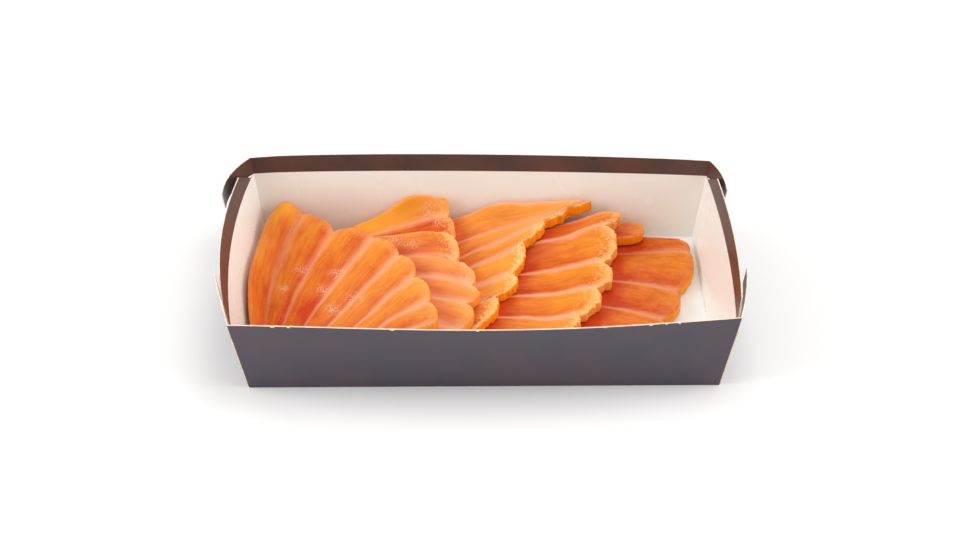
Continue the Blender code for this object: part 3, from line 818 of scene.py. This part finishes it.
def buildSlice(node, spec, seed):
    s = fanSettings
    across, along, plan = fanGrid(spec, *s["fineCells"])
    plan = drawInCorners(across, along, plan, spec)
    shape = across.shape
    top, under, shadeUnder = (resampled(resampled(values, shape[0]).T, shape[1]).T
                         for values in solidHeights(node, spec))

    spacing = np.gradient(plan, axis=0) * s["fineCells"][0]
    lines = unit(np.gradient(plan, axis=1))
    flakeWidth = np.maximum(np.abs(np.sum(spacing * quarterTurn(lines), axis=-1)), s["leastWidth"])
    numbers = flakeNumbers(spec, across, along, plan, flakeWidth)
    # painted shade under the slices above
    numbers["shadeUnder"] = np.clip(shadeUnder, 0, 1)
    crumbs = mixedNoise(plan.reshape(-1, 2), s["crumbScales"], (seed + 11, seed + 17), 0.7)
    nearTip = np.clip(1.4 - numbers["tipGap"] / s["crumbReach"], 0, 1) * numbers["fringe"]
    top = top + flakeRelief(across, along, plan, flakeWidth, seed)
    top = top + s["crumbHeight"] * crumbs.reshape(shape) * nearTip

    # outline: torn a little at the tips, then rounded over by the rim
    loop = borderLoop(shape)
    outline = plan[loop]
    inward = inwardSteps(outline)
    atTips = np.clip(1 - numbers["tipGap"][loop] / s["tornReach"], 0.15, 1)
    teeth = 0.6 * mixedNoise(outline, s["tornScales"], (seed + 3, seed + 5), 1.0)
    torn = outline + inward * ((teeth + 0.25) * spec["torn"] * atTips)[:, None]
    moves = np.zeros(plan.shape)
    moves[loop] = torn + inward * s["rimInset"] - outline
    sheet = (plan + fadedInside(moves, s["insetReach"])).reshape(-1, 2)
    rows = [np.column_stack([sheet, top.ravel()]), np.column_stack([sheet, under.ravel()])]
    crumbly = numbers["fringe"][loop] * atTips * 1.5
    rows += rimRows(outline, torn, inward, top[loop], under[loop], crumbly, seed)

    ringIndex = loop[0] * shape[1] + loop[1]
    mesh = bpy.data.meshes.new(node.name.replace("salmon_slice_", "flesh"))
    mesh.from_pydata(np.concatenate(rows).tolist(), [], sliceFaces(shape, ringIndex).tolist())
    mesh.update()
    writeFleshValues(mesh, across, along, numbers, ringIndex)

    piece = sceneObject(node.name.replace("salmon_slice_", "sashimiSlice"), mesh)
    makeActive(piece)
    bpy.ops.object.mode_set(mode="EDIT")
    bpy.ops.mesh.select_all(action="SELECT")
    bpy.ops.mesh.normals_make_consistent(inside=False)
    bpy.ops.object.mode_set(mode="OBJECT")
    bpy.ops.object.shade_smooth()
    return piece


fleshSettings = {
    "bright": linearColour(239, 157, 50),
    "flesh": linearColour(223, 115, 33),
    "deep": linearColour(200, 60, 8),
    "line": linearColour(241, 172, 134),
    "milk": linearColour(244, 168, 116),
    # pale tips, also a painted wet highlight along the top of the cut faces
    "fringe": linearColour(254, 208, 150),
    "fringeLow": linearColour(251, 174, 84),
    # painted glints on the wet spots
    "glint": linearColour(252, 184, 140),
    "cutLow": linearColour(250, 150, 24),
    "streakStretch": (44.0, 3.0, 1.0),     # fibres run with the flakes, on the UV map
    "bandStretch": (16.0, 1.6, 1.0),
    "fibreScale": 4.0,
    "cloudScale": 60.0,
    "crumbScale": 650.0,
    "grainScale": 1500.0,
    "glintScale": 1900.0,
    "wanderScale": 70.0,
    "lineWander": 0.13,                    # share of a flake over which its lines wander
    "lineHalf": (0.0004, 0.0014),          # half width of the pale lines, at the heel and at the tips
    "shadeUnderDepth": 0.48,                    # painted shade: the colour is deeper under the slices above
    "stepShade": (-0.12, 0.22),           # painted shade across each flake, deepest just before the next line
    "bandDepth": 0.12,
    "streakDepth": 0.08,
    "cloudDepth": 0.11,
    "fringeFull": 0.0008,
    "fringeReach": 0.0072,
    "fringePeak": 0.85,
    "cutStart": (0.14, 0.42),              # shares of the way down the rim
    "roughness": 0.44,
    "wetRoughness": -0.22,
    "fibreDepth": 0.00012,
    "beadDepth": 0.0006,
    "scatter": 0.4,
    "scatterRadius": (1.0, 0.3, 0.08),
    "scatterScale": 0.0025,
    "specular": 0.16,
    "coatRoughness": 0.12,
}

# values that the meshes of the slices carry for each point
fleshValues = ("flakeWidth", "tipGap", "tone", "fringe", "cutPale", "wet", "milk", "linePale", "shadeUnder",
               "downRim")


def fleshMaterial():
    s = fleshSettings
    material, tree, shader = newMaterial("rawSalmon")
    uv = addNode(tree, "ShaderNodeUVMap", -3000, 200, uv_map="flakes").outputs["UV"]
    place = addNode(tree, "ShaderNodeTexCoord", -3000, -300).outputs["Object"]
    spot = splitPlace(tree, uv, -2800, 300)
    width, tipGap, tone, fringe, cutPale, wet, milk, linePale, shadeUnder, downRim = (
        attributeValue(tree, name, -2800, 600 + 150 * k) for k, name in enumerate(fleshValues))

    # patterns: long fibres with the flakes, slow clouds, and a fine crumb
    streaky = stretched(tree, uv, s["streakStretch"], -2800, -100)
    banded = stretched(tree, uv, s["bandStretch"], -2800, -450)
    streak = noiseNode(tree, streaky, s["fibreScale"], 5.0, 0.6, -2600, -100)
    bands = noiseNode(tree, banded, s["fibreScale"], 3.0, 0.55, -2600, -450)
    cloud = noiseNode(tree, place, s["cloudScale"], 4.0, 0.55, -2600, -700)
    crumb = noiseNode(tree, place, s["crumbScale"], 3.0, 0.6, -2600, -950)
    grain = noiseNode(tree, place, s["grainScale"], 2.0, 0.5, -2600, -1200)
    glint = noiseNode(tree, place, s["glintScale"], 1.0, 0.5, -2600, -1400)
    wander = noiseNode(tree, place, s["wanderScale"], 3.0, 0.6, -2800, 100)

    # distance to the nearest line, in metres, along a slightly wandering grid of flakes
    wobble = mathNode(tree, "MULTIPLY_ADD", wander, s["lineWander"], -2600, 100, third=-s["lineWander"] / 2)
    across = mathNode(tree, "MULTIPLY_ADD", spot["X"], fanSettings["uvFlakes"], -2400, 200, third=wobble)
    part = mathNode(tree, "FRACT", across, None, -2200, 300)
    gap = mathNode(tree, "PINGPONG", across, 0.5, -2200, 100)
    lineGap = mathNode(tree, "MULTIPLY", gap, width, -2000, 100)
    half = rangeNode(tree, spot["Y"], 0.15, 1.0, *s["lineHalf"], -2000, 300)
    uneven = rangeNode(tree, streak, 0.3, 0.7, 0.7, 1.3, -2000, 500)
    half = mathNode(tree, "MULTIPLY", half, uneven, -1800, 300)
    nearLine = mathNode(tree, "DIVIDE", lineGap, half, -1800, 100)
    line = rangeNode(tree, nearLine, 0.0, 2.5, 1.0, 0.0, -1600, 100)
    grown = rangeNode(tree, spot["Y"], 0.0, 0.5, 0.5, 1.0, -1600, 300)
    line = mathNode(tree, "MULTIPLY", line, grown, -1400, 100)
    line = mathNode(tree, "MULTIPLY", line, linePale, -1200, 100)

    # depth of colour: deeper at the heel, painted shade just before each line and under the slices above,
    # broken up by the patterns
    stepShade = rangeNode(tree, part, 0.3, 0.97, *s["stepShade"], -1600, -100)
    depth = mathNode(tree, "ADD", stepShade, tone, -1400, -100)
    # painted shade under the slices above
    depth = mathNode(tree, "MULTIPLY_ADD", shadeUnder, s["shadeUnderDepth"], -1300, -100, third=depth)
    changes = ((bands, s["bandDepth"]), (streak, s["streakDepth"]), (cloud, s["cloudDepth"]))
    for k, (pattern, most) in enumerate(changes):
        change = rangeNode(tree, pattern, 0.3, 0.7, -most, most, -1600, -350 - 200 * k)
        depth = mathNode(tree, "ADD", depth, change, -1200 + 200 * k, -100)
    ramp = addNode(tree, "ShaderNodeValToRGB", -600, -100)
    tree.links.new(depth, ramp.inputs["Fac"])
    ramp.color_ramp.elements[0].color = s["bright"]
    ramp.color_ramp.elements[1].color = s["deep"]
    ramp.color_ramp.elements.new(0.5).color = s["flesh"]
    colour = mixColour(tree, milk, ramp.outputs["Color"], s["milk"], -450, 0)
    colour = mixColour(tree, line, colour, s["line"], -300, 0)

    # pale crumbly tips; along the top of the cut faces the same pale colour is also a painted wet highlight
    broken = rangeNode(tree, crumb, 0.35, 0.65, 1.7, 0.6, -1600, 700)
    reach = mathNode(tree, "MULTIPLY", tipGap, broken, -1400, 700)
    drawn = rangeNode(tree, streak, 0.3, 0.7, 1.3, 0.7, -1600, 900)
    reach = mathNode(tree, "MULTIPLY", reach, drawn, -1200, 700)
    paleTip = rangeNode(tree, reach, s["fringeFull"], s["fringeReach"], s["fringePeak"], 0.0, -1000, 700)
    paleTip = mathNode(tree, "MULTIPLY", paleTip, fringe, -800, 700)
    grainy = rangeNode(tree, grain, 0.36, 0.64, 0.0, 1.0, -2400, -1200)
    crumbs = mixColour(tree, grainy, s["fringeLow"], s["fringe"], -300, 300)
    colour = mixColour(tree, paleTip, colour, crumbs, -100, 0)

    # painted glints, a pale colour on the wet spots, and clear orange low on the cut faces
    wearAndGlintSpecks = rangeNode(tree, glint, 0.48, 0.62, 0.0, 0.9, -2400, -1400)
    wearAndGlintSpecks = mathNode(tree, "MULTIPLY", wearAndGlintSpecks, wet, -2200, -1400)
    colour = mixColour(tree, wearAndGlintSpecks, colour, s["glint"], 0, 100)
    raggedRim = mathNode(tree, "MULTIPLY_ADD", crumb, 0.3, -1000, 1050, third=downRim)
    lowFace = rangeNode(tree, raggedRim, *s["cutStart"], 0.0, 1.0, -800, 1100)
    cutClear = mathNode(tree, "SUBTRACT", 1.0, cutPale, -800, 950)
    cutGlow = mathNode(tree, "MULTIPLY", lowFace, cutClear, -500, 900)
    colour = mixColour(tree, cutGlow, colour, s["cutLow"], 100, 0)
    tree.links.new(colour, shader.inputs["Base Color"])

    rough = rangeNode(tree, cloud, 0.35, 0.65, s["roughness"] - 0.06, s["roughness"] + 0.08, -300, -300)
    rough = mathNode(tree, "MULTIPLY_ADD", wet, s["wetRoughness"], -100, -300, third=rough)
    tree.links.new(rough, shader.inputs["Roughness"])
    fibres = bumpNode(tree, streak, s["fibreDepth"], 0.5, -300, -600)
    beadShare = mathNode(tree, "ADD", wet, 0.12, -500, -900)
    beads = mathNode(tree, "MULTIPLY", crumb, beadShare, -300, -900)
    surface = bumpNode(tree, beads, s["beadDepth"], 0.7, -100, -600, fibres)
    tree.links.new(surface, shader.inputs["Normal"])
    coat = mathNode(tree, "MULTIPLY_ADD", wet, 0.9, -100, -450, third=0.04)
    tree.links.new(coat, shader.inputs["Coat Weight"])
    shader.inputs["Coat Roughness"].default_value = s["coatRoughness"]
    shader.inputs["Subsurface Weight"].default_value = s["scatter"]
    shader.inputs["Subsurface Radius"].default_value = s["scatterRadius"]
    shader.inputs["Subsurface Scale"].default_value = s["scatterScale"]
    shader.inputs["Specular IOR Level"].default_value = s["specular"]
    return material


flesh = fleshMaterial()
for number, (nodeName, spec) in enumerate(sliceSettings.items()):
    print("scene: slice", number + 1, "of", len(sliceSettings))
    fleshPiece = buildSlice(nodes[nodeName], spec, number * 13.7)
    fleshPiece.data.materials.append(flesh)
    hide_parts(nodeName)
    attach(fleshPiece, "root")


# floor, light and camera

studioSettings = {
    "floorSize": 4.0,
    "floorDrop": 0.00005,
    "floorColour": linearColour(250, 250, 250),
    "floorRoughness": 0.9,
    "skyColour": linearColour(255, 253, 250),
    "skyStrength": 0.56,
    "lightAim": (0, 0, 0.02),
    "lights": {                       # place, size, power
        "keyLight": ((-0.75, -0.12, 0.46), 0.5, 3.9),
        "fillLight": ((0.75, -0.05, 0.46), 0.5, 3.0),
        "topLight": ((0.15, -0.05, 0.95), 0.6, 2.4),
        "backLight": ((0.05, 0.62, 0.62), 0.2, 0.5),
    },
}

cameraSettings = {
    "lens": 63.75,                    # 1700 pixels on the 960 of the picture
    "sensor": 36.0,
    "nearest": 0.01,
    "pitch": 40.9515,                 # degrees down
    "yaw": 1.7703,
    "roll": 0.93817,
    "place": (-0.014948, -0.507074, 0.460215),
}


def addAreaLight(name, place, size, power):
    deselectAll()
    bpy.ops.object.light_add(type="AREA", location=place)
    lamp = bpy.context.active_object
    lamp.name = name
    lamp.data.size = size
    lamp.data.energy = power
    towards = Vector(studioSettings["lightAim"]) - Vector(place)
    lamp.rotation_euler = towards.to_track_quat("-Z", "Y").to_euler()


def buildStudio():
    s = studioSettings
    deselectAll()
    bpy.ops.mesh.primitive_plane_add(size=s["floorSize"], location=(0, 0, -s["floorDrop"]))
    floor = bpy.context.active_object
    floor.name = "paleFloor"
    material, _, shader = newMaterial("palePaper")
    shader.inputs["Base Color"].default_value = s["floorColour"]
    shader.inputs["Roughness"].default_value = s["floorRoughness"]
    floor.data.materials.append(material)
    world = bpy.data.worlds.new("softRoom")
    bpy.context.scene.world = world
    world.use_nodes = True
    sky = world.node_tree.nodes["Background"]
    sky.inputs["Color"].default_value = s["skyColour"]
    sky.inputs["Strength"].default_value = s["skyStrength"]
    for name, (place, size, power) in s["lights"].items():
        addAreaLight(name, place, size, power)


def buildCamera():
    s = cameraSettings
    deselectAll()
    bpy.ops.object.camera_add()
    camera = bpy.context.active_object
    camera.name = "photoCamera"
    camera.data.lens = s["lens"]
    camera.data.sensor_width = s["sensor"]
    camera.data.clip_start = s["nearest"]
    pitch, yaw, roll = (math.radians(s[key]) for key in ("pitch", "yaw", "roll"))
    turn = Matrix.Rotation(-yaw, 4, "Z") @ Matrix.Rotation(math.pi / 2 - pitch, 4, "X")
    camera.matrix_world = Matrix.Translation(s["place"]) @ turn @ Matrix.Rotation(roll, 4, "Z")
    bpy.context.scene.camera = camera
    # plain screen colours, as the picture has
    bpy.context.scene.view_settings.view_transform = "Standard"


print("scene: studio")
buildStudio()
buildCamera()
print("scene: done")
